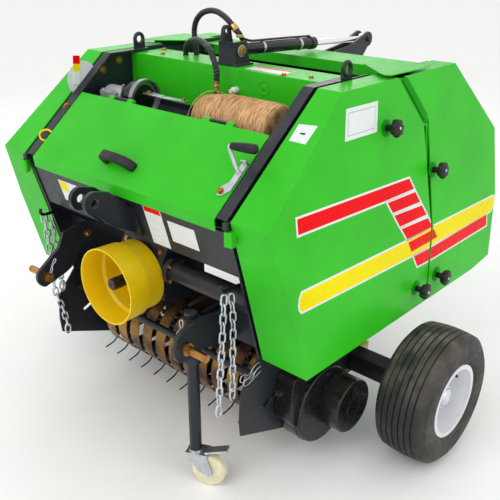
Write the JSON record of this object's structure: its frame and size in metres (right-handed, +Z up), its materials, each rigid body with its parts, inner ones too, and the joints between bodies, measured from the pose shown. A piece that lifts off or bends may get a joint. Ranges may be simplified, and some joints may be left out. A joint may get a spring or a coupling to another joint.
{
  "type": "round baler",
  "caption": "Compact fixed-chamber round baler for a three-point linkage: hinged side covers, rear tailgate on a ram, tine pickup, two wheels and a castored jack.",
  "frame": {"origin": "on the ground under the middle of the whole machine", "axes": "+Z up, -Y towards the tractor, +X to the machine's left side"},
  "size_m": [1.555, 1.285, 1.2398],
  "materials": {
    "green_paint": "gloss",
    "dark_paint": "satin",
    "black_paint": "gloss",
    "white_paint": "gloss",
    "yellow_plastic": "gloss",
    "black_plastic": "satin",
    "cream_plastic": "satin",
    "passivated_steel": "satin",
    "bare_steel": "satin",
    "zinc": "satin",
    "chrome": "polished",
    "brass": "satin",
    "tyre": "matte",
    "hose_rubber": "satin",
    "twine": "matte"
  },
  "bodies": {
    "frame": {"axle_beam": "dark_paint", "bale_counter": "white_paint", "cylinder_bracket": "dark_paint", "drive_cover": "black_paint", "front_panel": "dark_paint", "gearbox": "dark_paint", "guard_bar": "dark_paint", "hose_banjo": "brass", "hose_feed": "hose_rubber", "hose_free": "hose_rubber", "jack_sleeve": "dark_paint", "link_bracket_left": "dark_paint", "link_bracket_right": "dark_paint", "link_pin_left": "passivated_steel", "link_pin_right": "passivated_steel", "pickup_plate_left": "dark_paint", "pickup_plate_right": "dark_paint", "pto_guard": "yellow_plastic", "side_plate_left": "dark_paint", "side_plate_right": "dark_paint", "stripper_bands": "passivated_steel", "top_box": "green_paint", "top_link_bracket": "dark_paint", "twine_ball": "twine", "twine_drive": "bare_steel", "twine_tray": "dark_paint"},
    "wheel_left": {"wheel_rim_left": "white_paint", "tyre_left": "tyre"},
    "wheel_right": {"wheel_rim_right": "white_paint", "tyre_right": "tyre"},
    "front_roller_1_body": {"front_roller_1": "bare_steel"},
    "tailgate_roller_1_body": {"tailgate_roller_1": "bare_steel"},
    "front_roller_2_body": {"front_roller_2": "bare_steel"},
    "tailgate_roller_2_body": {"tailgate_roller_2": "bare_steel"},
    "front_roller_3_body": {"front_roller_3": "bare_steel"},
    "tailgate_roller_3_body": {"tailgate_roller_3": "bare_steel"},
    "front_roller_4_body": {"front_roller_4": "bare_steel"},
    "tailgate_roller_4_body": {"tailgate_roller_4": "bare_steel"},
    "reel": {"tine_reel": "dark_paint"},
    "pto": {"pto_shaft": "black_paint"},
    "tailgate": {"tailgate_plate_left": "dark_paint", "tailgate_plate_right": "dark_paint", "tailgate_cover": "green_paint", "tailgate_bar": "dark_paint", "tailgate_arm": "dark_paint", "top_flap_left": "green_paint", "top_flap_right": "green_paint"},
    "front_door_left_body": {"front_door_left": "green_paint"},
    "rear_door_left_body": {"rear_door_left": "green_paint"},
    "front_door_right_body": {"front_door_right": "green_paint"},
    "rear_door_right_body": {"rear_door_right": "green_paint"},
    "lid": {"hatch_lid": "green_paint", "hatch_handle": "black_plastic", "lid_latch": "zinc"},
    "jack": {"jack_leg": "dark_paint"},
    "caster": {"caster_fork": "zinc"},
    "caster_roll": {"caster_wheel": "cream_plastic"},
    "barrel": {"cylinder_barrel": "black_paint"},
    "rod": {"cylinder_rod": "chrome"}
  },
  "joints": [
    {"name": "wheel_left_spin", "type": "hinge", "parent": "frame", "child": "wheel_left", "pos_m": [0.695, 0.0545, 0.203], "axis": [1, 0, 0], "continuous": true},
    {"name": "wheel_right_spin", "type": "hinge", "parent": "frame", "child": "wheel_right", "pos_m": [-0.695, 0.0545, 0.203], "axis": [1, 0, 0], "continuous": true},
    {"name": "front_roller_1_spin", "type": "hinge", "parent": "frame", "child": "front_roller_1_body", "pos_m": [0, 0.07018, 0.98661], "axis": [-1, 0, 0], "continuous": true},
    {"name": "front_roller_2_spin", "type": "hinge", "parent": "frame", "child": "front_roller_2_body", "pos_m": [0, -0.08964, 0.8525], "axis": [-1, 0, 0], "continuous": true},
    {"name": "front_roller_3_spin", "type": "hinge", "parent": "frame", "child": "front_roller_3_body", "pos_m": [0, -0.12587, 0.64704], "axis": [-1, 0, 0], "continuous": true},
    {"name": "front_roller_4_spin", "type": "hinge", "parent": "frame", "child": "front_roller_4_body", "pos_m": [0, 0.13205, 0.39797], "axis": [-1, 0, 0], "continuous": true},
    {"name": "reel_spin", "type": "hinge", "parent": "frame", "child": "reel", "pos_m": [0, -0.2155, 0.2], "axis": [-1, 0, 0], "continuous": true},
    {"name": "pto_spin", "type": "hinge", "parent": "frame", "child": "pto", "pos_m": [0, -0.4208, 0.547], "axis": [0, -1, 0], "continuous": true},
    {"name": "tailgate_hinge", "type": "hinge", "parent": "frame", "child": "tailgate", "pos_m": [0, -0.0255, 1.065], "axis": [1, 0, 0], "range_deg": [0, 60]},
    {"name": "tailgate_roller_1_spin", "type": "hinge", "parent": "tailgate", "child": "tailgate_roller_1_body", "pos_m": [0, 0.27882, 0.98661], "axis": [-1, 0, 0], "continuous": true},
    {"name": "tailgate_roller_2_spin", "type": "hinge", "parent": "tailgate", "child": "tailgate_roller_2_body", "pos_m": [0, 0.43864, 0.8525], "axis": [-1, 0, 0], "continuous": true},
    {"name": "tailgate_roller_3_spin", "type": "hinge", "parent": "tailgate", "child": "tailgate_roller_3_body", "pos_m": [0, 0.47487, 0.64704], "axis": [-1, 0, 0], "continuous": true},
    {"name": "tailgate_roller_4_spin", "type": "hinge", "parent": "tailgate", "child": "tailgate_roller_4_body", "pos_m": [0, 0.37055, 0.46636], "axis": [-1, 0, 0], "continuous": true},
    {"name": "front_door_left_hinge", "type": "hinge", "parent": "frame", "child": "front_door_left_body", "pos_m": [0.4245, -0.5261, 0.654], "axis": [0, 0, -1], "range_deg": [0, 90]},
    {"name": "rear_door_left_hinge", "type": "hinge", "parent": "tailgate", "child": "rear_door_left_body", "pos_m": [0.4245, 0.6093, 0.654], "axis": [0, 0, 1], "range_deg": [0, 90]},
    {"name": "front_door_right_hinge", "type": "hinge", "parent": "frame", "child": "front_door_right_body", "pos_m": [-0.4245, -0.5261, 0.654], "axis": [0, 0, 1], "range_deg": [0, 90]},
    {"name": "rear_door_right_hinge", "type": "hinge", "parent": "tailgate", "child": "rear_door_right_body", "pos_m": [-0.4245, 0.6093, 0.654], "axis": [0, 0, -1], "range_deg": [0, 90]},
    {"name": "lid_hinge", "type": "hinge", "parent": "frame", "child": "lid", "pos_m": [0, -0.3175, 0.99774], "axis": [-1, 0, 0], "range_deg": [0, 110]},
    {"name": "jack_slide", "type": "slide", "parent": "frame", "child": "jack", "axis": [0, 0, 1], "range_m": [0, 0.2]},
    {"name": "caster_swivel", "type": "hinge", "parent": "jack", "child": "caster", "pos_m": [0.2817, -0.5175, 0.116], "axis": [0, 0, 1], "continuous": true},
    {"name": "caster_spin", "type": "hinge", "parent": "caster", "child": "caster_roll", "pos_m": [0.31795, -0.5006, 0.05], "axis": [0.4226, -0.9063, 0], "continuous": true},
    {"name": "barrel_tilt", "type": "hinge", "parent": "frame", "child": "barrel", "pos_m": [0, -0.0545, 1.132], "axis": [1, 0, 0], "range_deg": [0, 60.95], "deforming": ["hose_feed"]},
    {"name": "rod_slide", "type": "slide", "parent": "barrel", "child": "rod", "axis": [0, -0.9987, 0.0506], "range_m": [0, 0.0733]}
  ],
  "couplings": [
    {"joint": "front_roller_2_spin", "follows": "front_roller_1_spin", "ratio": 1},
    {"joint": "front_roller_3_spin", "follows": "front_roller_1_spin", "ratio": 1},
    {"joint": "front_roller_4_spin", "follows": "front_roller_1_spin", "ratio": 1},
    {"joint": "tailgate_roller_1_spin", "follows": "front_roller_1_spin", "ratio": 1},
    {"joint": "tailgate_roller_2_spin", "follows": "front_roller_1_spin", "ratio": 1},
    {"joint": "tailgate_roller_3_spin", "follows": "front_roller_1_spin", "ratio": 1},
    {"joint": "tailgate_roller_4_spin", "follows": "front_roller_1_spin", "ratio": 1},
    {"joint": "reel_spin", "follows": "front_roller_1_spin", "ratio": 0.75},
    {"joint": "pto_spin", "follows": "front_roller_1_spin", "ratio": 3},
    {"joint": "barrel_tilt", "follows": "tailgate_hinge", "ratio": 1.0075},
    {"joint": "rod_slide", "follows": "tailgate_hinge", "m_per_rad": 0.06955}
  ]
}
